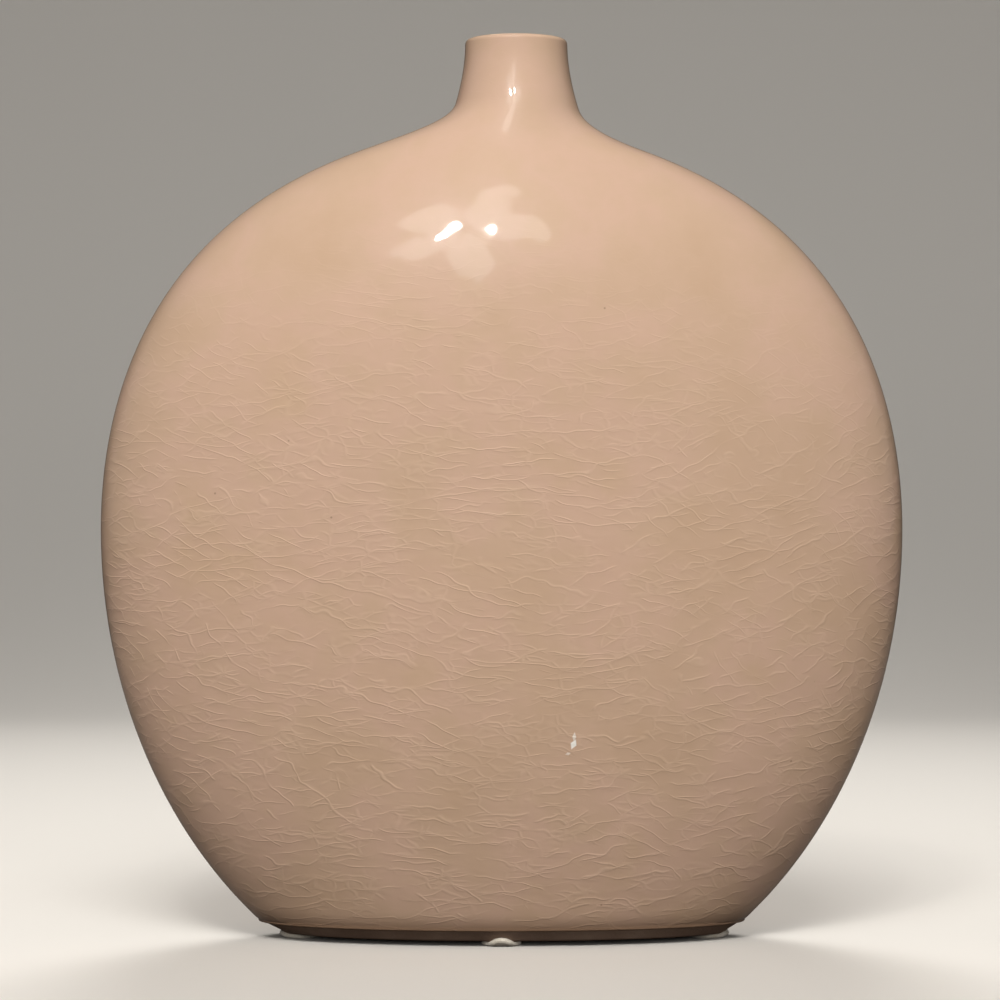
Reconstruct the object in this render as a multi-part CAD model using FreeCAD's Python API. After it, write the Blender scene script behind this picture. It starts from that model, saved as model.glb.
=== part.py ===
import FreeCAD, Part
import math
import os

# Body form, in millimetres, each level given by its rise above the one below

BELLY_WIDTH = 254.0
BELLY_DEPTH = 90.0
BELLY_HEIGHT = 127.2
BASE_WIDTH = 153.5
BASE_DEPTH = 54.4
SHOULDER_END_WIDTH = 91.1
SHOULDER_END_DEPTH = 49.6
SHOULDER_RISE = 119.8
NECK_ROOT_RISE = 15.5
NECK_HEIGHT = 20.1
NECK_DIAMETER = 32.4
NECK_FLARE = 3.0
NECK_OFFSET = 4.65
LIP_ROUNDING = 1.5

# How far each tangent leans in from the vertical, in degrees

FRONT_SHOULDER_LEAN = 70.35
SIDE_SHOULDER_LEAN = 26.5
NECK_ROOT_LEAN = 16.2

# Length of each curve handle, as a share of the chord of its stretch

FRONT_SHOULDER_PULL_SHARES = (0.24, 0.52)
SIDE_SHOULDER_PULL_SHARES = (0.44, 0.34)
FRONT_ROOT_PULL_SHARES = (0.75, 0.15)
SIDE_ROOT_PULL_SHARES = (0.30, 0.30)
NECK_PULL_SHARES = (0.32, 0.32)

# Foot, set in from the base edge by its bevel

BEVEL_HEIGHT = 3.7
END_BEVEL_RUN = 7.35
FACE_BEVEL_RUN = 3.4
FOOT_OFFSET = 0.8
FOOT_RING_WIDTH = 9.0
RECESS_DEPTH = 2.5
WIPED_BAND = 1.0

# Walls, bore and glaze

WALL = 4.5
NECK_WALL = 4.2
FLOOR_THICKNESS = 5.0
FLOOR_CORNER_RADIUS = 8.0
GLAZE_THICKNESS = 0.4
THROAT_LENGTH = 4.6
THROAT_PULL_SHARE = 0.4

# Felt pads under the foot

PAD_DIAMETER = 12.7
PAD_SETBACK = 5.0
FELT_THICKNESS = 1.4
ADHESIVE_THICKNESS = 0.2

# Section counts and one overrun for every cut

LOWER_STEPS = 10
SHOULDER_STEPS = 14
ROOT_STEPS = 10
NECK_STEPS = 6
CORNER_STEPS = 5
HALVINGS = 50
SECTION_GAP = 0.9
CUT_OVERRUN = 5.0

# Levels and spans that follow from the sizes above

SHOULDER_END_HEIGHT = BELLY_HEIGHT + SHOULDER_RISE
NECK_ROOT_HEIGHT = SHOULDER_END_HEIGHT + NECK_ROOT_RISE
VASE_HEIGHT = NECK_ROOT_HEIGHT + NECK_HEIGHT
LIP_LEVEL = VASE_HEIGHT - LIP_ROUNDING
NECK_RADIUS = NECK_DIAMETER / 2
NECK_ROOT_RADIUS = NECK_RADIUS + NECK_FLARE
BORE_RADIUS = NECK_RADIUS - NECK_WALL
FOOT_HALF_WIDTH = BASE_WIDTH / 2 - END_BEVEL_RUN
FOOT_HALF_DEPTH = BASE_DEPTH / 2 - FACE_BEVEL_RUN

UP = FreeCAD.Vector(0, 0, 1)
ORIGIN = FreeCAD.Vector(0, 0, 0)


def inward(lean):
    """Unit direction in an outline's plane that leans in from the vertical by an angle in degrees."""
    return FreeCAD.Vector(-math.sin(math.radians(lean)), 0, math.cos(math.radians(lean)))


def lower_stretch(base_reach, belly_reach):
    """Elliptical arc from the foot's plane, through the base edge, up to the belly."""
    base_turn = math.acos(base_reach / belly_reach)
    semi_height = (BELLY_HEIGHT - BEVEL_HEIGHT) / math.sin(base_turn)
    turn = math.asin(BELLY_HEIGHT / semi_height)
    pull = 4 / 3 * math.tan(turn / 4)
    start = FreeCAD.Vector(belly_reach * math.cos(turn), 0, 0)
    start_pull = FreeCAD.Vector(belly_reach * math.sin(turn), 0, semi_height * math.cos(turn)) * pull
    end = FreeCAD.Vector(belly_reach, 0, BELLY_HEIGHT)
    return [start, start + start_pull, end - UP * (semi_height * pull), end]


def stretch(start, start_lean, end, end_lean, pull_shares):
    """Curve with four poles between two places, with a handle along the tangent at each."""
    chord = (end - start).Length
    start_handle = inward(start_lean) * (chord * pull_shares[0])
    end_handle = inward(end_lean) * (chord * pull_shares[1])
    return [start, start + start_handle, end - end_handle, end]


def outline(belly_reach, base_reach, shoulder_reach, shoulder_lean, shoulder_pull_shares, root_pull_shares):
    """Outline of the body in one upright plane, as stretches from the foot's plane to the lip."""
    belly = FreeCAD.Vector(belly_reach, 0, BELLY_HEIGHT)
    shoulder = FreeCAD.Vector(shoulder_reach, 0, SHOULDER_END_HEIGHT)
    root = FreeCAD.Vector(NECK_ROOT_RADIUS, 0, NECK_ROOT_HEIGHT)
    lip = FreeCAD.Vector(NECK_RADIUS, 0, LIP_LEVEL)
    return [
        lower_stretch(base_reach, belly_reach),
        stretch(belly, 0, shoulder, shoulder_lean, shoulder_pull_shares),
        stretch(shoulder, shoulder_lean, root, NECK_ROOT_LEAN, root_pull_shares),
        stretch(root, NECK_ROOT_LEAN, lip, 0, NECK_PULL_SHARES),
    ]


FRONT_OUTLINE = outline(
    BELLY_WIDTH / 2,
    BASE_WIDTH / 2,
    SHOULDER_END_WIDTH / 2,
    FRONT_SHOULDER_LEAN,
    FRONT_SHOULDER_PULL_SHARES,
    FRONT_ROOT_PULL_SHARES,
)
SIDE_OUTLINE = outline(
    BELLY_DEPTH / 2,
    BASE_DEPTH / 2,
    SHOULDER_END_DEPTH / 2,
    SIDE_SHOULDER_LEAN,
    SIDE_SHOULDER_PULL_SHARES,
    SIDE_ROOT_PULL_SHARES,
)


def place_on(poles, share, inset):
    """Place at a share of one stretch, moved inward along the normal by the inset."""
    curve = Part.BezierCurve()
    curve.setPoles(poles)
    place = curve.value(share)
    slope = curve.tangent(share)[0]
    return place - FreeCAD.Vector(slope.z, 0, -slope.x) * inset


def reach_at(stretches, height, inset):
    """Half the body's span in one upright plane at a height, measured on its inset outline."""
    below = [poles for poles in stretches if place_on(poles, 0, inset).z <= height]
    poles = below[-1] if below else stretches[0]
    low = 0.0
    high = 1.0
    for _ in range(HALVINGS):
        middle = (low + high) / 2
        if place_on(poles, middle, inset).z < height:
            low = middle
        else:
            high = middle
    return place_on(poles, low, inset).x


def centre_at(height):
    """Sideways place of the body's axis, which drifts to one side where the neck begins."""
    share = min(max((height - SHOULDER_END_HEIGHT) / NECK_ROOT_RISE, 0), 1)
    return NECK_OFFSET * share**2 * (3 - 2 * share)


def oval(half_width, half_depth, centre_x, height):
    """Closed oval wire, level, with the same start and turning sense at every size."""
    corners = [(1, 0), (1, 1), (0, 1), (-1, 1), (-1, 0), (-1, -1), (0, -1), (1, -1), (1, 0)]
    poles = [FreeCAD.Vector(centre_x + half_width * x, half_depth * y, height) for x, y in corners]
    corner_weight = math.cos(math.radians(45))
    weights = [1 if x * y == 0 else corner_weight for x, y in corners]
    curve = Part.BSplineCurve()
    curve.buildFromPolesMultsKnots(poles, [3, 2, 2, 2, 3], [0, 1, 2, 3, 4], False, 2, weights)
    return Part.Wire(curve.toShape())


def section(height, inset, draw_in=0.0):
    """The body's oval section at a height, inset from the glazed surface."""
    half_width = reach_at(FRONT_OUTLINE, height, inset) - draw_in
    half_depth = reach_at(SIDE_OUTLINE, height, inset) - draw_in
    return oval(half_width, half_depth, centre_at(height), height)


def section_heights(start, end):
    """Heights of the sections between two levels, closer together where the outline turns faster."""
    heights = []
    for poles, steps in zip(FRONT_OUTLINE, (LOWER_STEPS, SHOULDER_STEPS, ROOT_STEPS, NECK_STEPS)):
        heights += [place_on(poles, step / steps, 0).z for step in range(steps)]
    between = [height for height in heights if start + SECTION_GAP < height < end - SECTION_GAP]
    return [start] + between + [end]


def turned(points_and_arcs, axis_x):
    """Solid of revolution about the neck's axis from edges that close on that axis."""
    face = Part.Face(Part.Wire(points_and_arcs))
    solid = face.revolve(ORIGIN, UP, 360)
    solid.translate(FreeCAD.Vector(axis_x, 0, 0))
    return solid


def line(start, end):
    """Straight edge between two places given as reach and height."""
    return Part.makeLine(FreeCAD.Vector(start[0], 0, start[1]), FreeCAD.Vector(end[0], 0, end[1]))


def arc(start, middle, end):
    """Round edge through three places given as reach and height."""
    return Part.Arc(*(FreeCAD.Vector(reach, 0, height) for reach, height in (start, middle, end))).toShape()


def around(centre, radius, angle):
    """Place on a circle in an outline's plane, at an angle from the level in degrees."""
    reach = centre[0] + radius * math.cos(math.radians(angle))
    return (reach, centre[1] + radius * math.sin(math.radians(angle)))


def body_form(inset):
    """The vase's outside from the base edge to the top of the lip, closed, inset from the glaze."""
    heights = section_heights(BEVEL_HEIGHT, LIP_LEVEL)
    body = Part.makeLoft([section(height, inset) for height in heights], True)
    centre = (NECK_RADIUS - LIP_ROUNDING, LIP_LEVEL)
    radius = LIP_ROUNDING - inset
    side, middle, top = (around(centre, radius, angle) for angle in (0, 45, 90))
    lip_edges = [
        line((0, LIP_LEVEL), side),
        arc(side, middle, top),
        line(top, (0, top[1])),
        line((0, top[1]), (0, LIP_LEVEL)),
    ]
    return body.fuse(turned(lip_edges, NECK_OFFSET))


def cavity_form(outset):
    """The hollow inside, from its floor to above the lip, grown outward from the liner glaze."""
    inset = GLAZE_THICKNESS + WALL + GLAZE_THICKNESS - outset
    floor = RECESS_DEPTH + GLAZE_THICKNESS + FLOOR_THICKNESS + GLAZE_THICKNESS - outset
    radius = FLOOR_CORNER_RADIUS + outset
    sections = []
    for step in range(CORNER_STEPS):
        turn = math.radians(90 * step / CORNER_STEPS)
        height = floor + radius * (1 - math.cos(turn))
        sections.append(section(height, inset, radius * (1 - math.sin(turn))))
    heights = section_heights(floor + radius, NECK_ROOT_HEIGHT)
    sections += [section(height, inset) for height in heights]
    return Part.makeLoft(sections, True).fuse(throat_form(outset, inset))


def throat_form(outset, inset):
    """The hollow of the neck: a funnel, a straight bore and the lip's inner rounding."""
    above = VASE_HEIGHT + CUT_OVERRUN
    root = FreeCAD.Vector(reach_at(FRONT_OUTLINE, NECK_ROOT_HEIGHT, inset), 0, NECK_ROOT_HEIGHT)
    bore = FreeCAD.Vector(BORE_RADIUS + outset, 0, NECK_ROOT_HEIGHT + THROAT_LENGTH)
    funnel = Part.BezierCurve()
    funnel.setPoles(stretch(root, NECK_ROOT_LEAN, bore, 0, (THROAT_PULL_SHARE, THROAT_PULL_SHARE)))
    centre = (BORE_RADIUS + LIP_ROUNDING, LIP_LEVEL)
    side, middle, top = (around(centre, LIP_ROUNDING - outset, angle) for angle in (180, 135, 90))
    edges = [
        line((0, NECK_ROOT_HEIGHT), (root.x, root.z)),
        funnel.toShape(),
        line((bore.x, bore.z), side),
        arc(side, middle, top),
        line(top, (top[0], above)),
        line((top[0], above), (0, above)),
        line((0, above), (0, NECK_ROOT_HEIGHT)),
    ]
    return turned(edges, NECK_OFFSET)


def foot_section_reaches(foot_reach, base_reach, outset):
    """Reaches of the foot's bevel at the ring's level and at the base edge, grown outward."""
    run = base_reach - foot_reach
    slant = math.hypot(run, BEVEL_HEIGHT)
    lower = foot_reach + outset * (BEVEL_HEIGHT / slant) - outset * (1 - run / slant) * run / BEVEL_HEIGHT
    upper = lower + (BEVEL_HEIGHT + outset) * run / BEVEL_HEIGHT
    return lower, upper


def foot_form(outset):
    """The bevelled foot below the base edge, closed, grown outward and downward."""
    base_half_width = reach_at(FRONT_OUTLINE, BEVEL_HEIGHT, GLAZE_THICKNESS)
    base_half_depth = reach_at(SIDE_OUTLINE, BEVEL_HEIGHT, GLAZE_THICKNESS)
    lower_width, upper_width = foot_section_reaches(FOOT_HALF_WIDTH, base_half_width, outset)
    lower_depth, upper_depth = foot_section_reaches(FOOT_HALF_DEPTH, base_half_depth, outset)
    lower = oval(lower_width, lower_depth, FOOT_OFFSET, -outset)
    upper = oval(upper_width, upper_depth, 0, BEVEL_HEIGHT)
    return Part.makeLoft([lower, upper], True, True)


def recess_form(outset, start):
    """The shallow hollow under the foot, from a start level up to its roof, grown outward."""
    half_width = FOOT_HALF_WIDTH - FOOT_RING_WIDTH + outset
    half_depth = FOOT_HALF_DEPTH - FOOT_RING_WIDTH + outset
    roof = RECESS_DEPTH + outset
    rim = oval(half_width, half_depth, FOOT_OFFSET, start)
    return Part.Face(rim).extrude(UP * (roof - start))


def clay_body():
    """One slip-cast wall of fired clay, with its bare foot ring and its open neck."""
    solid = body_form(GLAZE_THICKNESS).fuse(foot_form(0))
    solid = solid.cut(cavity_form(GLAZE_THICKNESS))
    return solid.cut(recess_form(GLAZE_THICKNESS, -CUT_OVERRUN))


def outside_glaze():
    """The crackled glaze coat over the outside, from the base edge over the lip."""
    coat = body_form(0).cut(body_form(GLAZE_THICKNESS))
    mouth_start = FreeCAD.Vector(NECK_OFFSET, 0, VASE_HEIGHT - GLAZE_THICKNESS - CUT_OVERRUN)
    mouth = Part.makeCylinder(BORE_RADIUS + LIP_ROUNDING, 2 * CUT_OVERRUN, mouth_start, UP)
    return coat.cut(mouth)


def inside_glaze():
    """The thin liner glaze over the floor, the inner wall and the bore."""
    return cavity_form(GLAZE_THICKNESS).cut(cavity_form(0))


def recess_glaze():
    """The glaze left in the hollow under the foot, wiped back from the standing ring."""
    return recess_form(GLAZE_THICKNESS, WIPED_BAND).cut(recess_form(0, -CUT_OVERRUN))


def pad_places():
    """Centres of the felt pads, set back from the foot's outer edge at its four ends."""
    along = FOOT_HALF_WIDTH - PAD_SETBACK
    across = FOOT_HALF_DEPTH - PAD_SETBACK
    return {
        "front": (0, -across),
        "rear": (0, across),
        "left": (FOOT_OFFSET - along, 0),
        "right": (FOOT_OFFSET + along, 0),
    }


def pad_layer(place, inner, outer):
    """One layer of a round pad pressed under the ring and up against the bevel."""
    below = FreeCAD.Vector(place[0], place[1], -outer)
    punch = Part.makeCylinder(PAD_DIAMETER / 2, outer + BEVEL_HEIGHT, below, UP)
    return punch.common(foot_form(outer)).cut(foot_form(inner))


def felt_pad(place):
    """White felt disc that the vase stands on."""
    return pad_layer(place, ADHESIVE_THICKNESS, ADHESIVE_THICKNESS + FELT_THICKNESS)


def pad_adhesive(place):
    """Adhesive film between a felt disc and the bare clay."""
    return pad_layer(place, 0, ADHESIVE_THICKNESS)


def export(name, shape):
    """Write one piece with the standing surface of the pads at height zero."""
    piece = shape.copy()
    piece.translate(UP * (FELT_THICKNESS + ADHESIVE_THICKNESS))
    piece.exportStep("parts/" + name + ".step")


os.makedirs("parts", exist_ok=True)
export("clay_body", clay_body())
export("outside_glaze", outside_glaze())
export("inside_glaze", inside_glaze())
export("recess_glaze", recess_glaze())
for side, place in pad_places().items():
    export("felt_pad_" + side, felt_pad(place))
    export("pad_adhesive_" + side, pad_adhesive(place))
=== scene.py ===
import math

import bmesh
import bpy
from mathutils import Matrix, Vector, noise


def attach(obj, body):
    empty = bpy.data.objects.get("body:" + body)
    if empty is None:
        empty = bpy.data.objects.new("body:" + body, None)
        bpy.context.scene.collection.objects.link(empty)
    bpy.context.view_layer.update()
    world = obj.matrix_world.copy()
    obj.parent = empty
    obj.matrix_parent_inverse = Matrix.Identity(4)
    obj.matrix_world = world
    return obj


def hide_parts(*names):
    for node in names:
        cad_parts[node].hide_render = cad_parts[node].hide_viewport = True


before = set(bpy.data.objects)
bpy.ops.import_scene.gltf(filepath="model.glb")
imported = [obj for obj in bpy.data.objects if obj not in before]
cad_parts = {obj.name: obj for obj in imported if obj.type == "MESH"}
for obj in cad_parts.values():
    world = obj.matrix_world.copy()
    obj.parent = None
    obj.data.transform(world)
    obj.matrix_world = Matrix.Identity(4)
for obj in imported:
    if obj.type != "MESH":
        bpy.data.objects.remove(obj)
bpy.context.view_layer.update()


# Clay body. One wall of buff earthenware, slip-cast in a two-part plaster mould and fired. The bevelled
# foot ring is left bare, and its neck drifts a few millimetres to one side. All heights in this section
# are from the foot ring, which stands on felt pads.

BELLY_WIDTH = 0.2540
BELLY_DEPTH = 0.0900
BELLY_HEIGHT = 0.1272
BASE_WIDTH = 0.1535
BASE_DEPTH = 0.0544
BEVEL_HEIGHT = 0.0037
SHOULDER_END_WIDTH = 0.0911
SHOULDER_END_DEPTH = 0.0496
SHOULDER_END_HEIGHT = 0.2470
NECK_ROOT_DIAMETER = 0.0384
NECK_ROOT_HEIGHT = 0.2625
NECK_DIAMETER = 0.0324
NECK_OFFSET = 0.00465
VASE_HEIGHT = 0.2826
LIP_ROUNDING = 0.0015
LIP_LEVEL = VASE_HEIGHT - LIP_ROUNDING
FRONT_SHOULDER_LEAN = 70.35
SIDE_SHOULDER_LEAN = 26.5
NECK_ROOT_LEAN = 16.2
FRONT_SHOULDER_PULL_SHARES = (0.24, 0.52)
SIDE_SHOULDER_PULL_SHARES = (0.44, 0.34)
FRONT_ROOT_PULL_SHARES = (0.75, 0.15)
SIDE_ROOT_PULL_SHARES = (0.30, 0.30)
NECK_PULL_SHARES = (0.32, 0.32)
FOOT_WIDTH = 0.1388
FOOT_DEPTH = 0.0476
FOOT_OFFSET = 0.0008
FOOT_RING_WIDTH = 0.0090
FOOT_EDGE_ROUNDING = 0.0005
RECESS_DEPTH = 0.0025
WALL = 0.0045
FLOOR_THICKNESS = 0.0050
FLOOR_CORNER_RADIUS = 0.0080
GLAZE_THICKNESS = 0.0004
BORE_DIAMETER = 0.0240
BORE_LENGTH = 0.0140
MOUTH_RADIUS = BORE_DIAMETER / 2 + LIP_ROUNDING
THROAT_PULL_SHARE = 0.4
FOOT_PLANE = 0.0016
WALL_STEPS = (30, 44, 40, 20)
LIP_STEPS = 6
THROAT_STEPS = 8
CORNER_STEPS = 8
FOOT_ROUNDING_ANGLES = (60, 30, 0)
BEVEL_SHARES = (0.08, 0.2, 0.4, 0.6, 0.8, 0.95)
QUARTER_STEPS = 72
HALVINGS = 40
SEAM_DISTANCE = 1e-7
SHARP_ANGLE = 50


def inward(lean):
    """Unit direction in an outline's plane that leans in from the vertical by an angle in degrees."""
    return Vector((-math.sin(math.radians(lean)), math.cos(math.radians(lean))))


def lower_stretch(base_reach, belly_reach):
    """Elliptical arc from the foot's plane, through the base edge, up to the belly."""
    base_turn = math.acos(base_reach / belly_reach)
    semi_height = (BELLY_HEIGHT - BEVEL_HEIGHT) / math.sin(base_turn)
    turn = math.asin(BELLY_HEIGHT / semi_height)
    pull = 4 / 3 * math.tan(turn / 4)
    start = Vector((belly_reach * math.cos(turn), 0))
    start_pull = Vector((belly_reach * math.sin(turn), semi_height * math.cos(turn))) * pull
    end = Vector((belly_reach, BELLY_HEIGHT))
    return [start, start + start_pull, end - Vector((0, semi_height * pull)), end]


def stretch(start, start_lean, end, end_lean, pull_shares):
    """Curve with four poles between two places, with a handle along the tangent at each."""
    chord = (end - start).length
    start_handle = inward(start_lean) * (chord * pull_shares[0])
    end_handle = inward(end_lean) * (chord * pull_shares[1])
    return [start, start + start_handle, end - end_handle, end]


def outline(belly_reach, base_reach, shoulder_reach, shoulder_lean, shoulder_pulls, root_pulls):
    """Outline of the body in one upright plane, as stretches from the foot's plane to the lip."""
    belly = Vector((belly_reach, BELLY_HEIGHT))
    shoulder = Vector((shoulder_reach, SHOULDER_END_HEIGHT))
    root = Vector((NECK_ROOT_DIAMETER / 2, NECK_ROOT_HEIGHT))
    lip = Vector((NECK_DIAMETER / 2, LIP_LEVEL))
    return [
        lower_stretch(base_reach, belly_reach),
        stretch(belly, 0, shoulder, shoulder_lean, shoulder_pulls),
        stretch(shoulder, shoulder_lean, root, NECK_ROOT_LEAN, root_pulls),
        stretch(root, NECK_ROOT_LEAN, lip, 0, NECK_PULL_SHARES),
    ]


FRONT_OUTLINE = outline(
    BELLY_WIDTH / 2,
    BASE_WIDTH / 2,
    SHOULDER_END_WIDTH / 2,
    FRONT_SHOULDER_LEAN,
    FRONT_SHOULDER_PULL_SHARES,
    FRONT_ROOT_PULL_SHARES,
)
SIDE_OUTLINE = outline(
    BELLY_DEPTH / 2,
    BASE_DEPTH / 2,
    SHOULDER_END_DEPTH / 2,
    SIDE_SHOULDER_LEAN,
    SIDE_SHOULDER_PULL_SHARES,
    SIDE_ROOT_PULL_SHARES,
)


def place_on(poles, share, inset):
    """Reach and height at a share of one stretch, moved inward along the normal by the inset."""
    rest = 1 - share
    first, second, third, fourth = poles
    place = first * rest**3 + second * (3 * rest**2 * share)
    place += third * (3 * rest * share**2)
    place += fourth * share**3
    slope = (second - first) * rest**2
    slope += (third - second) * (2 * rest * share)
    slope += (fourth - third) * share**2
    slope.normalize()
    return place - Vector((slope.y, -slope.x)) * inset


def reach_at(stretches, height, inset):
    """Half the body's span in one upright plane at a height, measured on its inset outline."""
    below = [poles for poles in stretches if place_on(poles, 0, inset).y <= height]
    poles = below[-1] if below else stretches[0]
    low = 0.0
    high = 1.0
    for _ in range(HALVINGS):
        middle = (low + high) / 2
        if place_on(poles, middle, inset).y < height:
            low = middle
        else:
            high = middle
    return place_on(poles, low, inset).x


def centre_at(height):
    """Sideways place of the body's axis, which drifts to one side where the neck begins."""
    rise = (height - SHOULDER_END_HEIGHT) / (NECK_ROOT_HEIGHT - SHOULDER_END_HEIGHT)
    share = min(max(rise, 0), 1)
    return NECK_OFFSET * share**2 * (3 - 2 * share)


def ring(half_width, half_depth, height, centre_x=None):
    """One level of a turned shell: an oval given by its two reaches, its height and its centre."""
    if centre_x is None:
        centre_x = centre_at(height)
    return half_width, half_depth, centre_x, height


def wall_rings(inset, low, high):
    """Ovals up the body between two heights, closer together where the outline turns faster."""
    rings = []
    for poles, steps in zip(FRONT_OUTLINE, WALL_STEPS):
        for step in range(steps):
            place = place_on(poles, step / steps, inset)
            if low < place.y < high:
                rings.append(ring(place.x, reach_at(SIDE_OUTLINE, place.y, inset), place.y))
    ends = [ring(reach_at(FRONT_OUTLINE, z, inset), reach_at(SIDE_OUTLINE, z, inset), z) for z in (low, high)]
    return [ends[0]] + rings + [ends[1]]


def round_rings(centre_reach, centre_height, radius, start_angle, end_angle, steps):
    """Rings round the neck's axis along an arc of the lip."""
    rings = []
    for step in range(steps + 1):
        angle = math.radians(start_angle + (end_angle - start_angle) * step / steps)
        reach = centre_reach + radius * math.cos(angle)
        rings.append(ring(reach, reach, centre_height + radius * math.sin(angle)))
    return rings


def lip_rings(inset):
    """The outer rounding of the lip, from the neck's wall to the flat on top."""
    reach = NECK_DIAMETER / 2 - LIP_ROUNDING
    return round_rings(reach, LIP_LEVEL, LIP_ROUNDING - inset, 0, 90, LIP_STEPS)


def hollow_rings(outset):
    """The inside from the lip's flat, down the mouth, bore and throat, to the middle of the floor."""
    inset = GLAZE_THICKNESS + WALL + GLAZE_THICKNESS - outset
    bore_radius = BORE_DIAMETER / 2 + outset
    bore_start = LIP_LEVEL - BORE_LENGTH
    mouth = round_rings(MOUTH_RADIUS, LIP_LEVEL, LIP_ROUNDING - outset, 90, 180, LIP_STEPS)
    root = Vector((reach_at(FRONT_OUTLINE, NECK_ROOT_HEIGHT, inset), NECK_ROOT_HEIGHT))
    pulls = (THROAT_PULL_SHARE, THROAT_PULL_SHARE)
    throat_poles = stretch(root, NECK_ROOT_LEAN, Vector((bore_radius, bore_start)), 0, pulls)
    throat_places = [place_on(throat_poles, 1 - step / THROAT_STEPS, 0) for step in range(THROAT_STEPS)]
    throat = [ring(place.x, place.x, place.y) for place in throat_places]
    floor = RECESS_DEPTH + GLAZE_THICKNESS + FLOOR_THICKNESS + GLAZE_THICKNESS - outset
    radius = FLOOR_CORNER_RADIUS + outset
    wall = wall_rings(inset, floor + radius, NECK_ROOT_HEIGHT)
    corner = []
    for step in range(1, CORNER_STEPS + 1):
        turn = math.radians(90 - 90 * step / CORNER_STEPS)
        height = floor + radius * (1 - math.cos(turn))
        draw_in = radius * (1 - math.sin(turn))
        half_width = reach_at(FRONT_OUTLINE, height, inset) - draw_in
        half_depth = reach_at(SIDE_OUTLINE, height, inset) - draw_in
        corner.append(ring(half_width, half_depth, height))
    middle = ring(0, 0, floor)
    return mouth + throat + wall[::-1] + corner + [middle]


def turned_shell(name, rings, closed):
    """Mesh object spun a quarter turn from its rings, mirrored twice and pressed flat ring by ring."""
    shell = bmesh.new()
    pressing = shell.verts.layers.float.new("pressing")
    shift = shell.verts.layers.float.new("shift")
    profile = []
    for half_width, half_depth, centre_x, height in rings:
        vertex = shell.verts.new((half_width, 0, height + FOOT_PLANE))
        vertex[pressing] = half_depth / half_width if half_width > SEAM_DISTANCE else 1.0
        vertex[shift] = centre_x
        profile.append(vertex)
    for start, end in zip(profile, profile[1:]):
        shell.edges.new((start, end))
    if closed:
        shell.edges.new((profile[-1], profile[0]))
    bmesh.ops.spin(
        shell,
        geom=shell.verts[:] + shell.edges[:],
        cent=(0, 0, 0),
        axis=(0, 0, 1),
        dvec=(0, 0, 0),
        angle=math.tau / 4,
        steps=QUARTER_STEPS,
        use_merge=False,
        use_duplicate=False,
    )
    for axis in ("X", "Y"):
        bmesh.ops.mirror(shell, geom=shell.verts[:] + shell.edges[:] + shell.faces[:], axis=axis)
    for vertex in shell.verts:
        vertex.co.y *= vertex[pressing]
        vertex.co.x += vertex[shift]
    bmesh.ops.remove_doubles(shell, verts=shell.verts[:], dist=SEAM_DISTANCE)
    bmesh.ops.recalc_face_normals(shell, faces=shell.faces[:])
    mesh = bpy.data.meshes.new(name)
    shell.to_mesh(mesh)
    shell.free()
    for layer in ("pressing", "shift"):
        mesh.attributes.remove(mesh.attributes[layer])
    mesh.shade_smooth()
    mesh.set_sharp_from_angle(angle=math.radians(SHARP_ANGLE))
    piece = bpy.data.objects.new(name, mesh)
    bpy.context.scene.collection.objects.link(piece)
    return piece


BASE_HALF_WIDTH = reach_at(FRONT_OUTLINE, BEVEL_HEIGHT, GLAZE_THICKNESS)
BASE_HALF_DEPTH = reach_at(SIDE_OUTLINE, BEVEL_HEIGHT, GLAZE_THICKNESS)


def foot_rings(grow):
    """The clay under the base edge: recess roof, recess wall, standing ring and bevel."""
    recess_width = FOOT_WIDTH / 2 - FOOT_RING_WIDTH + grow
    recess_depth = FOOT_DEPTH / 2 - FOOT_RING_WIDTH + grow
    roof = RECESS_DEPTH + grow
    rounding = FOOT_EDGE_ROUNDING
    rings = [ring(0, 0, roof, FOOT_OFFSET)]
    rings += [ring(recess_width, recess_depth, height, FOOT_OFFSET) for height in (roof, rounding)]
    for angle in FOOT_ROUNDING_ANGLES:
        away = rounding * (1 - math.sin(math.radians(angle)))
        up = rounding * (1 - math.cos(math.radians(angle)))
        rings.append(ring(recess_width + away, recess_depth + away, up, FOOT_OFFSET))
    rings.append(ring(FOOT_WIDTH / 2 - rounding, FOOT_DEPTH / 2 - rounding, 0, FOOT_OFFSET))
    for share in BEVEL_SHARES:
        half_width = FOOT_WIDTH / 2 + (BASE_HALF_WIDTH - FOOT_WIDTH / 2) * share
        half_depth = FOOT_DEPTH / 2 + (BASE_HALF_DEPTH - FOOT_DEPTH / 2) * share
        rings.append(ring(half_width, half_depth, BEVEL_HEIGHT * share, FOOT_OFFSET * (1 - share)))
    return rings


clay_rings = foot_rings(GLAZE_THICKNESS)
clay_rings += wall_rings(GLAZE_THICKNESS, BEVEL_HEIGHT, LIP_LEVEL)[:-1]
clay_rings += lip_rings(GLAZE_THICKNESS)
clay_rings += hollow_rings(GLAZE_THICKNESS)
clay = turned_shell("clay_wall", clay_rings, closed=False)


def new_material(name):
    """Material with a Principled shader, its node list and its links."""
    material = bpy.data.materials.new(name)
    material.use_nodes = True
    nodes = material.node_tree.nodes
    return material, nodes, material.node_tree.links, nodes["Principled BSDF"]


def srgb(red, green, blue):
    """Scene colour of a colour given as 0 to 255 display values."""
    return tuple(((value / 255 + 0.055) / 1.055) ** 2.4 for value in (red, green, blue)) + (1.0,)


def noise_node(nodes, links, vector, scale, detail, roughness=0.5):
    """Noise on a vector, in features per metre."""
    node = nodes.new("ShaderNodeTexNoise")
    node.inputs["Scale"].default_value = scale
    node.inputs["Detail"].default_value = detail
    node.inputs["Roughness"].default_value = roughness
    links.new(vector, node.inputs["Vector"])
    return node


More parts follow.
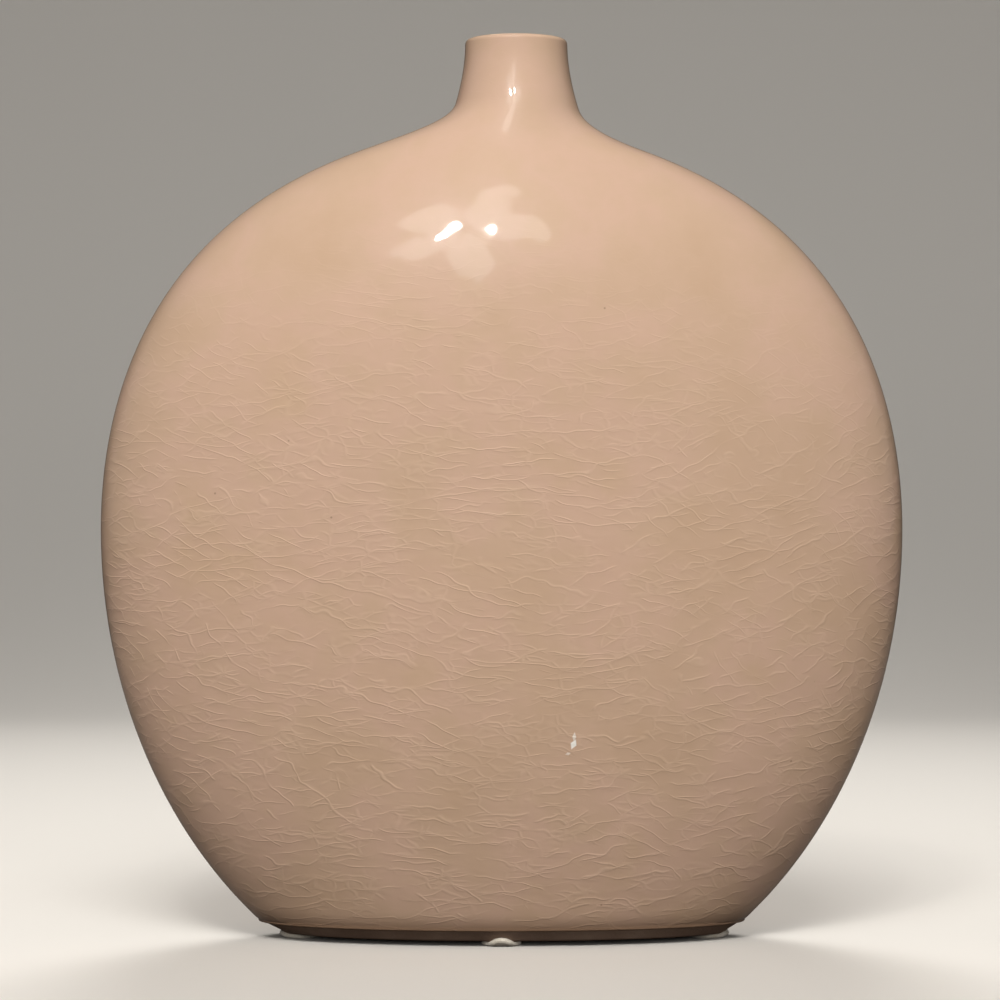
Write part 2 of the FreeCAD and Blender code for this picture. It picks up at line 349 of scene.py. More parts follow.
def ramp_node(nodes, links, factor, stops):
    """Colour ramp with stops given as place and colour."""
    node = nodes.new("ShaderNodeValToRGB")
    ramp = node.color_ramp
    while len(ramp.elements) < len(stops):
        ramp.elements.new(0.5)
    for element, (place, colour) in zip(ramp.elements, stops):
        element.position = place
        element.color = colour
    links.new(factor, node.inputs["Fac"])
    return node


def bump_node(nodes, links, height, distance, normal=None):
    """Bump from a height, on top of another normal if one is given."""
    node = nodes.new("ShaderNodeBump")
    node.inputs["Distance"].default_value = distance
    node.inputs["Strength"].default_value = 1.0
    links.new(height, node.inputs["Height"])
    if normal is not None:
        links.new(normal, node.inputs["Normal"])
    return node


def bare_clay_material():
    """Dry buff clay with patches of tone, sandy grain and sponge marks, in colours darkened by painted shade
    for the bevel that faces down.
    """
    material, nodes, links, shader = new_material("bare_buff_clay")
    place = nodes.new("ShaderNodeTexCoord").outputs["Object"]
    patches = noise_node(nodes, links, place, scale=60, detail=4)
    # Painted shade: the clay's tones are set darker than dry buff clay, so the downward bevel reads shaded.
    colour = ramp_node(
        nodes,
        links,
        patches.outputs["Fac"],
        [(0.30, srgb(128, 107, 93)), (0.55, srgb(147, 125, 110)), (0.75, srgb(164, 143, 127))],
    )
    links.new(colour.outputs["Color"], shader.inputs["Base Color"])
    grain = noise_node(nodes, links, place, scale=2600, detail=3, roughness=0.7)
    sponge = noise_node(nodes, links, place, scale=420, detail=2)
    fine = bump_node(nodes, links, grain.outputs["Fac"], distance=0.00006)
    coarse = bump_node(nodes, links, sponge.outputs["Fac"], distance=0.00018, normal=fine.outputs["Normal"])
    links.new(coarse.outputs["Normal"], shader.inputs["Normal"])
    shader.inputs["Roughness"].default_value = 0.82
    shader.inputs["Specular IOR Level"].default_value = 0.3
    return material


clay.data.materials.append(bare_clay_material())
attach(clay, "root")
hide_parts("clay_body")


# Outside glaze. A cream crackle glaze, about 0.4 mm thick, fused over the clay from the base edge up over
# the lip. It ends above the bare foot in a rounded roll, where the wet glaze drew back. As it cooled it
# crazed all over in long wavy arcs with short cracks between them, faint near the neck.

ROLL_RADIUS = 0.00045
ROLL_STEPS = 8
ROLL_START = 190
ROLL_SWEEP = 200


def base_roll_rings():
    """The glaze's lower edge: a small round roll from the clay's side round to the outside."""
    middle_inset = GLAZE_THICKNESS / 2
    middle_height = BEVEL_HEIGHT + GLAZE_THICKNESS / 2
    half_width = reach_at(FRONT_OUTLINE, middle_height, middle_inset)
    half_depth = reach_at(SIDE_OUTLINE, middle_height, middle_inset)
    rings = []
    for step in range(ROLL_STEPS + 1):
        angle = math.radians(ROLL_START + ROLL_SWEEP * step / ROLL_STEPS)
        out = ROLL_RADIUS * math.cos(angle)
        up = ROLL_RADIUS * math.sin(angle)
        rings.append(ring(half_width + out, half_depth + out, middle_height + up))
    return rings


glaze_start = BEVEL_HEIGHT + 3 * GLAZE_THICKNESS
mouth_levels = (VASE_HEIGHT, VASE_HEIGHT - GLAZE_THICKNESS)
outside_rings = base_roll_rings()
outside_rings += wall_rings(0, glaze_start, LIP_LEVEL)[:-1]
outside_rings += lip_rings(0)
outside_rings += [ring(MOUTH_RADIUS, MOUTH_RADIUS, level) for level in mouth_levels]
outside_rings += lip_rings(GLAZE_THICKNESS)[::-1]
outside_rings += wall_rings(GLAZE_THICKNESS, glaze_start, LIP_LEVEL)[:-1][::-1]
outside_glaze = turned_shell("crackle_glaze_coat", outside_rings, closed=True)


# Each family of cracks: bow, tilt, the noise level where it starts to show, and its strength

CRACK_FAMILIES = ((-3.4, 0.04, 0.48, 1.0), (-0.6, -0.17, 0.49, 0.9), (2.6, 0.15, 0.50, 0.85))
OUTSIDE_CRACK_SPACING = 0.0056
CRACK_LINE = 0.5
CRACK_START = 0.42
SWELL_START = 0.05
LONG_SWING_SCALE = (24, 24, 38)
LONG_SWING = 4.0
SHORT_SWING_SCALE = (110, 110, 160)
SHORT_SWING = 1.0
PATCH_SCALE = (84, 84, 190)
PATCH_BELOW = 0.06
PATCH_ABOVE = 0.12
NET_SCALE = (130, 120, 290)
NET_WARP_SCALE = (90, 90, 130)
NET_WARP = 1.3
NET_LINE_WIDTH = 0.13
NET_PATCH_SCALE = (85, 85, 120)
NET_THRESHOLD = 0.50
NET_STRENGTH = 0.6


def maths_node(nodes, links, operation, *values):
    """Result of a sum on numbers and sockets."""
    node = nodes.new("ShaderNodeMath")
    node.operation = operation
    for socket, value in zip(node.inputs, values):
        if isinstance(value, (int, float)):
            socket.default_value = value
        else:
            links.new(value, socket)
    return node.outputs["Value"]


def range_node(nodes, links, value, start, end, low=0.0, high=1.0, interpolation="SMOOTHSTEP"):
    """A value's way from start to end, moved to between low and high."""
    node = nodes.new("ShaderNodeMapRange")
    node.interpolation_type = interpolation
    node.inputs["From Min"].default_value = start
    node.inputs["From Max"].default_value = end
    node.inputs["To Min"].default_value = low
    node.inputs["To Max"].default_value = high
    links.new(value, node.inputs["Value"])
    return node.outputs["Result"]


def mix_node(nodes, links, factor, under, over):
    """One colour or colour socket with another colour over it where the factor is one."""
    node = nodes.new("ShaderNodeMix")
    node.data_type = "RGBA"
    node.inputs["B"].default_value = over
    if isinstance(under, tuple):
        node.inputs["A"].default_value = under
    else:
        links.new(under, node.inputs["A"])
    links.new(factor, node.inputs["Factor"])
    return node.outputs["Result"]


def crackle_group():
    """Crazing of a fired glaze: a mask of its raised cracks, the swell beside them and a drifting tone."""
    group = bpy.data.node_groups.new("glaze_crazing", "ShaderNodeTree")
    group.interface.new_socket("Place", in_out="INPUT", socket_type="NodeSocketVector")
    spacing_socket = group.interface.new_socket("Spacing", in_out="INPUT", socket_type="NodeSocketFloat")
    spacing_socket.default_value = OUTSIDE_CRACK_SPACING
    for name in ("Cracks", "Swell", "Tone"):
        group.interface.new_socket(name, in_out="OUTPUT", socket_type="NodeSocketFloat")
    nodes = group.nodes
    links = group.links
    inputs = nodes.new("NodeGroupInput")
    outputs = nodes.new("NodeGroupOutput")
    place = inputs.outputs["Place"]

    def maths(operation, *values):
        return maths_node(nodes, links, operation, *values)

    def soft_step(value, start, end):
        return range_node(nodes, links, value, start, end)

    def stretched(scale, offset):
        node = nodes.new("ShaderNodeMapping")
        node.inputs["Scale"].default_value = scale
        node.inputs["Location"].default_value = offset
        links.new(place, node.inputs["Vector"])
        return node.outputs["Vector"]

    def swing(scale, offset, detail, amount):
        sample = noise_node(nodes, links, stretched(scale, offset), scale=1, detail=detail)
        return maths("MULTIPLY", maths("SUBTRACT", sample.outputs["Fac"], 0.5), amount)

    def in_patches(mask, scale, offset, threshold):
        sample = noise_node(nodes, links, stretched(scale, offset), scale=1, detail=1)
        shown = soft_step(sample.outputs["Fac"], threshold - PATCH_BELOW, threshold + PATCH_ABOVE)
        return maths("MULTIPLY", mask, shown)

    split = nodes.new("ShaderNodeSeparateXYZ")
    links.new(place, split.inputs["Vector"])
    sideways = split.outputs["X"]
    sideways_squared = maths("MULTIPLY", sideways, sideways)
    cracks = 0.0
    swell = 0.0
    for number, (bow, tilt, threshold, strength) in enumerate(CRACK_FAMILIES):
        bowed = maths("MULTIPLY_ADD", sideways_squared, bow, split.outputs["Z"])
        tilted = maths("MULTIPLY_ADD", sideways, tilt, bowed)
        level = maths("DIVIDE", tilted, inputs.outputs["Spacing"])
        level = maths("ADD", level, swing(LONG_SWING_SCALE, (3.1 * number, 1.7, 5.3), 0, LONG_SWING))
        level = maths("ADD", level, swing(SHORT_SWING_SCALE, (7.9, 2.3 * number, 0.4), 1, SHORT_SWING))
        near = maths("ABSOLUTE", maths("SUBTRACT", maths("FRACT", level), 0.5))
        patch = in_patches(strength, PATCH_SCALE, (4.4, 6.1 * number, 2.2), threshold)
        line = maths("MULTIPLY", soft_step(near, CRACK_START, CRACK_LINE), patch)
        cracks = maths("MAXIMUM", cracks, line)
        swell = maths("MULTIPLY_ADD", soft_step(near, SWELL_START, CRACK_LINE), patch, swell)
    warp = noise_node(nodes, links, stretched(NET_WARP_SCALE, (1, 5, 9)), scale=1, detail=1)
    wander = nodes.new("ShaderNodeVectorMath")
    wander.operation = "MULTIPLY_ADD"
    wander.inputs[1].default_value = (NET_WARP, NET_WARP, NET_WARP)
    links.new(warp.outputs["Color"], wander.inputs[0])
    links.new(stretched(NET_SCALE, (0.3, 0.6, 0.1)), wander.inputs[2])
    cells = nodes.new("ShaderNodeTexVoronoi")
    cells.feature = "DISTANCE_TO_EDGE"
    cells.inputs["Scale"].default_value = 1.0
    links.new(wander.outputs["Vector"], cells.inputs["Vector"])
    net = soft_step(cells.outputs["Distance"], NET_LINE_WIDTH, 0.0)
    net = in_patches(net, NET_PATCH_SCALE, (8, 3, 1), NET_THRESHOLD)
    short_cracks = maths("MULTIPLY", net, NET_STRENGTH)
    links.new(maths("MAXIMUM", cracks, short_cracks), outputs.inputs["Cracks"])
    links.new(swell, outputs.inputs["Swell"])
    drift = noise_node(nodes, links, place, scale=22, detail=4, roughness=0.6)
    links.new(drift.outputs["Fac"], outputs.inputs["Tone"])
    return group


CRAZING = crackle_group()


def crazing_node(nodes, links, place, spacing):
    """The crazing in one material, with its own spacing in metres."""
    node = nodes.new("ShaderNodeGroup")
    node.node_tree = CRAZING
    node.inputs["Spacing"].default_value = spacing
    links.new(place, node.inputs["Place"])
    return node


# A painted highlight low on the front, white in the base colour where a glint on a glaze drop would be:
# a fleck, its tail and a dot. Each has a place to the side and a height, half a width and half a height,
# a tilt in degrees and a strength.

PAINTED_GLINTS = (
    (0.0219, 0.0623, 0.00120, 0.0021, 24, 1.0),
    (0.0221, 0.0646, 0.00075, 0.0019, 5, 0.6),
    (0.0202, 0.0594, 0.00110, 0.0006, -15, 0.5),
)
GLINT_DEPTH = 0.006
GLINT_RIM = 1.0
GLINT_CORE = 0.6


def painted_glint_mask(nodes, links, place, sideways, height, half_width, half_height, tilt, strength):
    """Mask of one painted highlight on the glaze, pointed at both ends, at a place on the front."""
    belly = reach_at(FRONT_OUTLINE, height, 0)
    front = reach_at(SIDE_OUTLINE, height, 0) * math.sqrt(1 - (sideways / belly) ** 2)
    from_middle = nodes.new("ShaderNodeMapping")
    from_middle.vector_type = "TEXTURE"
    from_middle.inputs["Location"].default_value = (sideways, -front, height + FOOT_PLANE)
    from_middle.inputs["Rotation"].default_value = (0, math.radians(tilt), 0)
    from_middle.inputs["Scale"].default_value = (half_width, GLINT_DEPTH, half_height)
    links.new(place, from_middle.inputs["Vector"])
    sides = nodes.new("ShaderNodeVectorMath")
    sides.operation = "ABSOLUTE"
    links.new(from_middle.outputs["Vector"], sides.inputs[0])
    away = nodes.new("ShaderNodeVectorMath")
    away.operation = "DOT_PRODUCT"
    away.inputs[1].default_value = (1, 1, 1)
    links.new(sides.outputs["Vector"], away.inputs[0])
    return range_node(nodes, links, away.outputs["Value"], GLINT_RIM, GLINT_CORE, high=strength)


CRACKS_FAINT_HEIGHT = 0.225
CRACKS_FULL_HEIGHT = 0.140
FAINT_SHARE = 0.12
CRACK_PALENESS = 0.17
PITS_PER_METRE = 62
PIT_CORE_SHARE = 0.012
PIT_EDGE_SHARE = 0.026
PIT_DARKNESS = 0.5
# Heights between which painted shade darkens the glaze towards the foot, and how fast it deepens.
PAINTED_SHADE_TOP = 0.0125
PAINTED_SHADE_FOOT = 0.0056
PAINTED_SHADE_POWER = 2.0


def crackle_glaze_material():
    """Cream glaze with pink and straw drifts, pale raised crazing lines, pinholes and painted shade at its
    lower edge.
    """
    material, nodes, links, shader = new_material("cream_crackle_glaze")
    place = nodes.new("ShaderNodeTexCoord").outputs["Object"]
    split = nodes.new("ShaderNodeSeparateXYZ")
    links.new(place, split.inputs["Vector"])
    height = split.outputs["Z"]
    crazing = crazing_node(nodes, links, place, OUTSIDE_CRACK_SPACING)
    tone = ramp_node(
        nodes,
        links,
        crazing.outputs["Tone"],
        [
            (0.30, srgb(201, 170, 143)),
            (0.45, srgb(206, 175, 150)),
            (0.55, srgb(210, 177, 155)),
            (0.70, srgb(205, 174, 147)),
        ],
    )
    strength = range_node(nodes, links, height, CRACKS_FAINT_HEIGHT, CRACKS_FULL_HEIGHT, low=FAINT_SHARE)
    cracks = maths_node(nodes, links, "MULTIPLY", crazing.outputs["Cracks"], strength)
    paleness = maths_node(nodes, links, "MULTIPLY", cracks, CRACK_PALENESS)
    colour = mix_node(nodes, links, paleness, tone.outputs["Color"], srgb(230, 204, 178))
    pits = nodes.new("ShaderNodeTexVoronoi")
    pits.inputs["Scale"].default_value = PITS_PER_METRE
    links.new(place, pits.inputs["Vector"])
    pitting = range_node(
        nodes,
        links,
        pits.outputs["Distance"],
        PIT_CORE_SHARE,
        PIT_EDGE_SHARE,
        low=PIT_DARKNESS,
        high=0.0,
        interpolation="LINEAR",
    )
    colour = mix_node(nodes, links, pitting, colour, srgb(120, 92, 70))
    # Painted highlight: white laid into the base colour where a glint on a glaze drop would be.
    for glint in PAINTED_GLINTS:
        colour = mix_node(nodes, links, painted_glint_mask(nodes, links, place, *glint), colour, srgb(255, 252, 246))
    # Painted shade: darker towards the foot, where the glaze turns under away from the light.
    low = range_node(nodes, links, height, PAINTED_SHADE_TOP, PAINTED_SHADE_FOOT, interpolation="LINEAR")
    painted_foot_shade = maths_node(nodes, links, "POWER", low, PAINTED_SHADE_POWER)
    colour = mix_node(nodes, links, painted_foot_shade, colour, srgb(122, 97, 77))
    links.new(colour, shader.inputs["Base Color"])
    orange_peel = noise_node(nodes, links, place, scale=75, detail=1)
    rolling = bump_node(nodes, links, orange_peel.outputs["Fac"], distance=0.00022)
    swell = maths_node(nodes, links, "MULTIPLY", crazing.outputs["Swell"], strength)
    quilting = bump_node(nodes, links, swell, distance=0.00003, normal=rolling.outputs["Normal"])
    ridges = bump_node(nodes, links, cracks, distance=0.00007, normal=quilting.outputs["Normal"])
    links.new(ridges.outputs["Normal"], shader.inputs["Normal"])
    links.new(rolling.outputs["Normal"], shader.inputs["Coat Normal"])
    shader.inputs["Roughness"].default_value = 0.34
    shader.inputs["Specular IOR Level"].default_value = 0.2
    shader.inputs["Coat Weight"].default_value = 0.8
    shader.inputs["Coat Roughness"].default_value = 0.04
    return material


outside_glaze.data.materials.append(crackle_glaze_material())
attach(outside_glaze, "root")
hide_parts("outside_glaze")


# Inside glaze. A thinner liner glaze, poured in through the neck, swilled round and poured out again, so
# that the vase holds water. It meets the outside coat at the inner edge of the lip.

LINER_CRACK_SPACING = 0.0050

inside_rings = hollow_rings(0)
inside_rings += hollow_rings(GLAZE_THICKNESS)[::-1]
inside_glaze = turned_shell("liner_glaze_coat", inside_rings, closed=True)


def liner_glaze_material():
    """Glossy cream liner glaze with fine crazing and slow drifts of tone where it ran."""
    material, nodes, links, shader = new_material("cream_liner_glaze")
    place = nodes.new("ShaderNodeTexCoord").outputs["Object"]
    crazing = crazing_node(nodes, links, place, LINER_CRACK_SPACING)
    tone = ramp_node(
        nodes,
        links,
        crazing.outputs["Tone"],
        [(0.30, srgb(190, 160, 132)), (0.55, srgb(204, 175, 147)), (0.75, srgb(212, 184, 156))],
    )
    colour = mix_node(nodes, links, crazing.outputs["Cracks"], tone.outputs["Color"], srgb(176, 144, 114))
    links.new(colour, shader.inputs["Base Color"])
    runs = noise_node(nodes, links, place, scale=90, detail=2)
    ridges = bump_node(nodes, links, runs.outputs["Fac"], distance=0.0002)
    links.new(ridges.outputs["Normal"], shader.inputs["Normal"])
    shader.inputs["Roughness"].default_value = 0.18
    return material


LINER_GLAZE = liner_glaze_material()
inside_glaze.data.materials.append(LINER_GLAZE)
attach(inside_glaze, "root")
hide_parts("inside_glaze")


# Recess glaze. The glaze left in the shallow hollow under the foot, sponged back from the standing ring
# before firing so that the vase didn't stick to the kiln shelf.

WIPED_BAND = 0.0010


def recess_rings():
    """The recess coat: down its inner face to the wiped edge, then back up against the clay."""
    inner = (FOOT_WIDTH / 2 - FOOT_RING_WIDTH, FOOT_DEPTH / 2 - FOOT_RING_WIDTH)
    rings = [ring(0, 0, RECESS_DEPTH, FOOT_OFFSET)]
    rings += [ring(*inner, height, FOOT_OFFSET) for height in (RECESS_DEPTH, WIPED_BAND)]
    outer = [reach + GLAZE_THICKNESS for reach in inner]
    roof = RECESS_DEPTH + GLAZE_THICKNESS
    rings += [ring(*outer, height, FOOT_OFFSET) for height in (WIPED_BAND, roof)]
    rings.append(ring(0, 0, roof, FOOT_OFFSET))
    return rings


recess_glaze = turned_shell("recess_glaze_coat", recess_rings(), closed=False)
recess_glaze.data.materials.append(LINER_GLAZE)
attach(recess_glaze, "root")
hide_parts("recess_glaze")


# Felt pads. Four white stick-on discs of pressed felt, half an inch across, on the standing ring. Each
# overhangs the ring and is pressed up against the bevel, which is the white crescent seen in front.

PAD_DIAMETER = 0.0127
PAD_SETBACK = 0.0050
FELT_THICKNESS = 0.0014
ADHESIVE_THICKNESS = 0.0002
PAD_SEGMENTS = 56
PAD_RINGS = 10
FELT_LAYERS = 4
TUCK_BELOW = 0.00055
TUCK_ABOVE = 0.00015
TUCK_BAND = 0.12
FRAY_DEPTH = 0.00006
FRAY_BAND = 0.3
FRAY_SCALE = 2200


def under_foot(x, y):
    """Height of the clay at a place, zero under the foot ring and rising on the bevel."""
    low = 0.0
    high = 1.0
    for _ in range(12):
        share = (low + high) / 2
        half_width = FOOT_WIDTH / 2 + (BASE_HALF_WIDTH - FOOT_WIDTH / 2) * share
        half_depth = FOOT_DEPTH / 2 + (BASE_HALF_DEPTH - FOOT_DEPTH / 2) * share
        centre_x = FOOT_OFFSET * (1 - share)
        if ((x - centre_x) / half_width) ** 2 + (y / half_depth) ** 2 > 1:
            low = share
        else:
            high = share
    return low * BEVEL_HEIGHT


def pressed_height(x, y):
    """Height of the film's clay side, with the fold at the ring's edge softened."""
    reach = 0.0003
    places = ((0, 0), (reach, 0), (-reach, 0), (0, reach), (0, -reach))
    return sum(under_foot(x + right, y + back) for right, back in places) / len(places)


def pressed_place(x, y, depth):
    """Place at a depth below the clay, square to the surface that the pad is pressed against."""
    step = 0.0002
    slope_x = (pressed_height(x + step, y) - pressed_height(x - step, y)) / (2 * step)
    slope_y = (pressed_height(x, y + step) - pressed_height(x, y - step)) / (2 * step)
    down = Vector((slope_x, slope_y, -1)).normalized()
    return Vector((x, y, pressed_height(x, y) + FOOT_PLANE)) + down * depth


def felt_pad(side, centre):
    """Disc of felt with a frayed cut edge, pressed to the ring and the bevel."""
    felt = bmesh.new()
    radius = PAD_DIAMETER / 2
    bmesh.ops.create_circle(felt, cap_ends=False, radius=radius, segments=PAD_SEGMENTS)
    edge = felt.edges[:]
    for number in range(PAD_RINGS - 1):
        grown = bmesh.ops.extrude_edge_only(felt, edges=edge)["geom"]
        edge = [part for part in grown if isinstance(part, bmesh.types.BMEdge)]
        inner = [part for part in grown if isinstance(part, bmesh.types.BMVert)]
        shrink = (PAD_RINGS - 1 - number) / (PAD_RINGS - number)
        bmesh.ops.scale(felt, vec=(shrink, shrink, 1), verts=inner)
    bmesh.ops.contextual_create(felt, geom=edge)
    bmesh.ops.poke(felt, faces=[face for face in felt.faces if len(face.verts) > 4])
    face_up = felt.faces[:]
    cut_edge = [part for part in felt.edges if part.is_boundary]
    level = 0.0
    for number in range(FELT_LAYERS):
        grown = bmesh.ops.extrude_edge_only(felt, edges=cut_edge)["geom"]
        cut_edge = [part for part in grown if isinstance(part, bmesh.types.BMEdge)]
        lower = [part for part in grown if isinstance(part, bmesh.types.BMVert)]
        bmesh.ops.translate(felt, vec=(0, 0, -FELT_THICKNESS / FELT_LAYERS), verts=lower)
        level -= FELT_THICKNESS / FELT_LAYERS
    copied = bmesh.ops.duplicate(felt, geom=face_up)["geom"]
    below = [part for part in copied if isinstance(part, bmesh.types.BMVert)]
    bmesh.ops.translate(felt, vec=(0, 0, level), verts=below)
    bmesh.ops.remove_doubles(felt, verts=felt.verts[:], dist=SEAM_DISTANCE)
    bmesh.ops.recalc_face_normals(felt, faces=felt.faces[:])
    middle_depth = ADHESIVE_THICKNESS + FELT_THICKNESS / 2
    for vertex in felt.verts:
        away = math.hypot(vertex.co.x, vertex.co.y) / radius
        depth = ADHESIVE_THICKNESS - vertex.co.z
        to_face = abs(-vertex.co.z - FELT_THICKNESS / 2) / (FELT_THICKNESS / 2)
        full_tuck = TUCK_BELOW if depth > middle_depth else TUCK_ABOVE
        tuck = full_tuck * to_face**3 * max(0.0, away - (1 - TUCK_BAND)) / TUCK_BAND
        fray = noise.noise(vertex.co * FRAY_SCALE) * FRAY_DEPTH * max(0.0, away - (1 - FRAY_BAND)) / FRAY_BAND
        shrink = 1 - (tuck + abs(fray)) / radius
        placed = pressed_place(centre[0] + vertex.co.x * shrink, centre[1] + vertex.co.y * shrink, depth)
        placed.z = max(placed.z, 0.0)
        vertex.co = placed
    mesh = bpy.data.meshes.new("felt_" + side)
    felt.to_mesh(mesh)
    felt.free()
    mesh.shade_smooth()
    piece = bpy.data.objects.new("white_felt_disc_" + side, mesh)
    bpy.context.scene.collection.objects.link(piece)
    return piece


def white_felt_material():
    """Pressed white wool felt: matted fibres, a little grey from shelves, soft sheen."""
    material, nodes, links, shader = new_material("pressed_white_felt")
    place = nodes.new("ShaderNodeTexCoord").outputs["Object"]
    soil = noise_node(nodes, links, place, scale=450, detail=4, roughness=0.6)
    colour = ramp_node(
        nodes,
        links,
        soil.outputs["Fac"],
        [(0.30, srgb(206, 197, 180)), (0.50, srgb(224, 216, 201)), (0.70, srgb(236, 230, 217))],
    )
    links.new(colour.outputs["Color"], shader.inputs["Base Color"])
    fibre_place = nodes.new("ShaderNodeMapping")
    fibre_place.inputs["Scale"].default_value = (1.0, 3.5, 2.0)
    fibre_place.inputs["Rotation"].default_value = (0.3, 0.2, 0.7)
    links.new(place, fibre_place.inputs["Vector"])
    fibres = noise_node(nodes, links, fibre_place.outputs["Vector"], scale=3200, detail=4, roughness=0.75)
    matted = noise_node(nodes, links, place, scale=1100, detail=3)
    fine = bump_node(nodes, links, fibres.outputs["Fac"], distance=0.00010)
    coarse = bump_node(nodes, links, matted.outputs["Fac"], distance=0.00012, normal=fine.outputs["Normal"])
    links.new(coarse.outputs["Normal"], shader.inputs["Normal"])
    shader.inputs["Roughness"].default_value = 0.95
    shader.inputs["Sheen Weight"].default_value = 0.4
    shader.inputs["Sheen Roughness"].default_value = 0.6
    return material


def adhesive_material():
    """Thin clear acrylic film, which shows the clay that it is pressed against."""
    material, nodes, links, shader = new_material("pad_adhesive_film")
    place = nodes.new("ShaderNodeTexCoord").outputs["Object"]
    cloud = noise_node(nodes, links, place, scale=700, detail=3)
    colour = ramp_node(
        nodes, links, cloud.outputs["Fac"], [(0.35, srgb(116, 96, 80)), (0.65, srgb(134, 114, 96))]
    )
    links.new(colour.outputs["Color"], shader.inputs["Base Color"])
    shader.inputs["Roughness"].default_value = 0.45
    return material


WHITE_FELT = white_felt_material()
ADHESIVE_FILM = adhesive_material()
along = FOOT_WIDTH / 2 - PAD_SETBACK
across = FOOT_DEPTH / 2 - PAD_SETBACK
pad_centres = {
    "front": (0, -across),
    "rear": (0, across),
    "left": (FOOT_OFFSET - along, 0),
    "right": (FOOT_OFFSET + along, 0),
}
for side, centre in pad_centres.items():
    pad = felt_pad(side, centre)
    pad.data.materials.append(WHITE_FELT)
    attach(pad, "root")
    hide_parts("felt_pad_" + side)
    for material_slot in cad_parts["pad_adhesive_" + side].material_slots:
        material_slot.material = ADHESIVE_FILM


# Studio. A pale floor that curves up into a backdrop. It looks pale to the camera, and is dimmer in the
# glaze and in the light that it throws back on the vase.

FLOOR_WIDTH = 6.0
FLOOR_FRONT = -2.6
WALL_PLACE = 1.7
WALL_TOP = 3.2
SWEEP_RADIUS = 0.7

sweep = bmesh.new()
corner_points = [
    (-FLOOR_WIDTH / 2, FLOOR_FRONT, 0),
    (-FLOOR_WIDTH / 2, WALL_PLACE, 0),
    (-FLOOR_WIDTH / 2, WALL_PLACE, WALL_TOP),
]
corners = [sweep.verts.new(point) for point in corner_points]
runs = [sweep.edges.new(pair) for pair in zip(corners, corners[1:])]
bmesh.ops.bevel(
    sweep,
    geom=[corners[1]],
    offset=SWEEP_RADIUS,
    offset_type="OFFSET",
    segments=24,
    profile=0.5,
    affect="VERTICES",
    material=-1,
)
widened = bmesh.ops.extrude_edge_only(sweep, edges=sweep.edges[:])["geom"]
far_side = [part for part in widened if isinstance(part, bmesh.types.BMVert)]
bmesh.ops.translate(sweep, vec=(FLOOR_WIDTH, 0, 0), verts=far_side)
bmesh.ops.recalc_face_normals(sweep, faces=sweep.faces[:])
sweep_mesh = bpy.data.meshes.new("studio_sweep")
sweep.to_mesh(sweep_mesh)
sweep.free()
sweep_mesh.shade_smooth()
backdrop = bpy.data.objects.new("studio_sweep", sweep_mesh)
bpy.context.scene.collection.objects.link(backdrop)

PALE_PAPER = srgb(222, 219, 214)
DIM_PAPER = srgb(60, 48, 38)
GLOSS_SHARE = 0.15


def paper_material():
    """Matt paper, pale to the camera and through glass, partly so in gloss, and dim to all other rays."""
    material, nodes, links, shader = new_material("pale_paper")
    path = nodes.new("ShaderNodeLightPath")
    in_gloss = maths_node(nodes, links, "MULTIPLY", path.outputs["Is Glossy Ray"], GLOSS_SHARE)
    seen = maths_node(nodes, links, "MAXIMUM", path.outputs["Is Camera Ray"], in_gloss)
    seen = maths_node(nodes, links, "MAXIMUM", seen, path.outputs["Is Transmission Ray"])
    links.new(mix_node(nodes, links, seen, DIM_PAPER, PALE_PAPER), shader.inputs["Base Color"])
    shader.inputs["Roughness"].default_value = 0.9
    shader.inputs["Specular IOR Level"].default_value = 0.1
    return material


backdrop.data.materials.append(paper_material())

world = bpy.data.worlds.new("studio_air")
bpy.context.scene.world = world
world.use_nodes = True
air = world.node_tree.nodes["Background"]
air.inputs["Color"].default_value = (1.0, 0.985, 0.965, 1.0)
air.inputs["Strength"].default_value = 0.19


def soft_lamp(name, place, target, size, watts, spread=180):
    """Square soft box aimed at a place, with its light kept within a spread in degrees."""
    lamp = bpy.data.lights.new(name, "AREA")
    lamp.size = size
    lamp.energy = watts
    lamp.spread = math.radians(spread)
    lamp.color = (1.0, 0.97, 0.93)
    holder = bpy.data.objects.new(name, lamp)
    aim = (Vector(target) - Vector(place)).to_track_quat("-Z", "Y").to_matrix().to_4x4()
    holder.matrix_world = Matrix.Translation(place) @ aim
    holder.visible_camera = False
    holder.visible_glossy = False
    bpy.context.scene.collection.objects.link(holder)
    return holder


VASE_MIDDLE = (0.0, 0.0, 0.15)
soft_lamp("key_box", (-0.05, -1.30, 1.55), VASE_MIDDLE, size=0.9, watts=9.0, spread=110)
soft_lamp("front_fill", (0.0, -1.80, 0.45), VASE_MIDDLE, size=0.5, watts=5.2)
soft_lamp("left_fill", (-1.9, -1.2, 0.9), VASE_MIDDLE, size=1.2, watts=1.8)
soft_lamp("right_fill", (1.9, -1.2, 0.9), VASE_MIDDLE, size=1.2, watts=2.2)
soft_lamp("back_box", (0.0, 1.25, 1.30), VASE_MIDDLE, size=0.8, watts=6.3, spread=90)

# A ceiling lamp in front: bulbs by azimuth, elevation and radius, and long shades round their middle

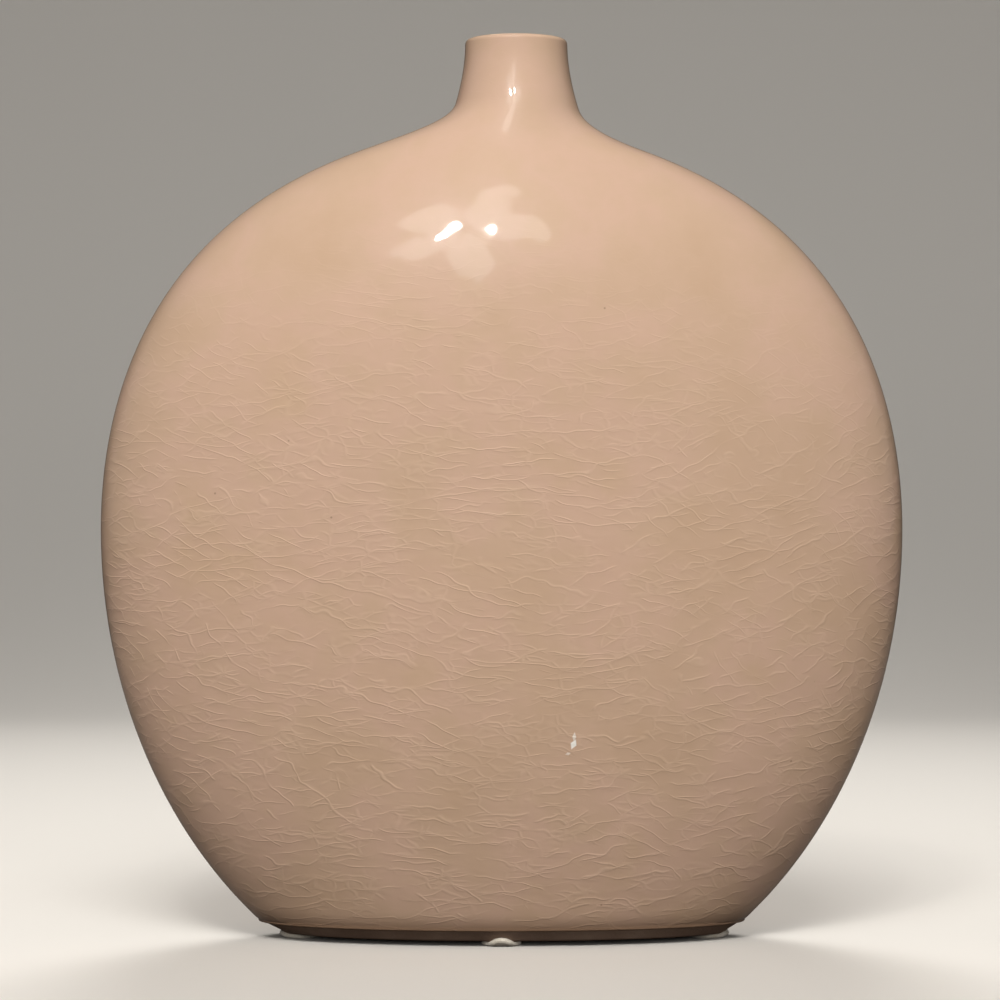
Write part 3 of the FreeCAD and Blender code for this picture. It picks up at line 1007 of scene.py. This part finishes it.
SHOULDER = (0.0, 0.0, 0.22)
BULB_DISTANCE = 1.6
BULB_WATTS = 5.5
BULBS = ((-12.5, 38.3, 0.030), (-9.7, 39.2, 0.034), (-2.4, 38.2, 0.024))
SHADE_MIDDLE = (-6.5, 38.7)
SHADE_DIRECTIONS = (5, 62, 150, 200, 278)
SHADE_REACH = 0.20
SHADE_LENGTH = 0.32
SHADE_WIDTH = 0.19
SHADE_WATTS = 0.42


def lamp_place(azimuth, elevation):
    """Place of a bulb, by its angles as seen from the shoulder of the vase."""
    level = BULB_DISTANCE * math.cos(math.radians(elevation))
    side = level * math.sin(math.radians(azimuth))
    front = -level * math.cos(math.radians(azimuth))
    return Vector((side, front, SHOULDER[2] + BULB_DISTANCE * math.sin(math.radians(elevation))))


for number, (azimuth, elevation, radius) in enumerate(BULBS):
    bulb = bpy.data.lights.new("bulb_%d" % number, "POINT")
    bulb.energy = BULB_WATTS
    bulb.shadow_soft_size = radius
    bulb.color = (1.0, 0.96, 0.90)
    bulb_holder = bpy.data.objects.new("bulb_%d" % number, bulb)
    bulb_holder.location = lamp_place(azimuth, elevation)
    bpy.context.scene.collection.objects.link(bulb_holder)

for number, direction in enumerate(SHADE_DIRECTIONS):
    shade = soft_lamp("shade_%d" % number, lamp_place(*SHADE_MIDDLE), SHOULDER, SHADE_LENGTH, SHADE_WATTS)
    shade.data.shape = "ELLIPSE"
    shade.data.size_y = SHADE_WIDTH
    shade.visible_glossy = True
    turned = Matrix.Rotation(math.radians(direction), 4, "Z") @ Matrix.Translation((SHADE_REACH, 0, 0))
    shade.matrix_world = shade.matrix_world @ turned


# Camera. Level with the lower middle of the body, one metre in front of it.

CAMERA_DISTANCE = 1.0
CAMERA_HEIGHT = 0.1383
CAMERA_SIDE = -0.0005
LENS = 113.5

camera_data = bpy.data.cameras.new("camera")
camera_data.lens = LENS
camera_data.sensor_width = 36.0
camera = bpy.data.objects.new("camera", camera_data)
camera.location = (CAMERA_SIDE, -CAMERA_DISTANCE, CAMERA_HEIGHT)
camera.rotation_euler = (math.radians(90), 0, 0)
bpy.context.scene.collection.objects.link(camera)
bpy.context.scene.camera = camera
bpy.context.scene.view_settings.view_transform = "Standard"
